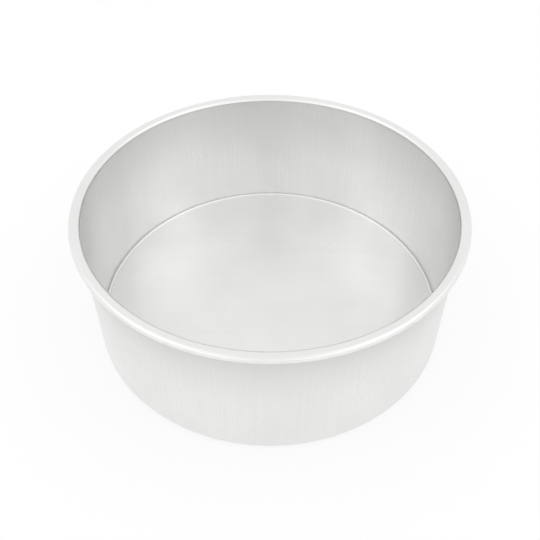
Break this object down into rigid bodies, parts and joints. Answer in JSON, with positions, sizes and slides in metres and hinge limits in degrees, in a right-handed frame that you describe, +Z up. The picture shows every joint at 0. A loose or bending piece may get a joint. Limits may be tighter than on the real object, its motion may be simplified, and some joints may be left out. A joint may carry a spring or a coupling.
{
  "type": "round cake tin",
  "caption": "Round straight-sided cake tin in satin aluminium, with a flat-topped rolled rim and a loose flat base that rests on a turned-in ledge and lifts out.",
  "frame": {"origin": "centre of the tin's underside, on the surface that it stands on", "axes": "+Z up along the tin's axis; the tin is round, so X and Y are any two level directions"},
  "size_m": [0.212, 0.212, 0.08],
  "materials": {
    "wall_sheet": "satin anodised",
    "base_sheet": "satin anodised"
  },
  "bodies": {
    "tin": {"tin_wall": "wall_sheet"},
    "base": {"loose_base": "base_sheet"}
  },
  "joints": [
    {"name": "base_lift", "type": "slide", "parent": "tin", "child": "base", "axis": [0, 0, 1], "range_m": [0, 0.094]}
  ]
}
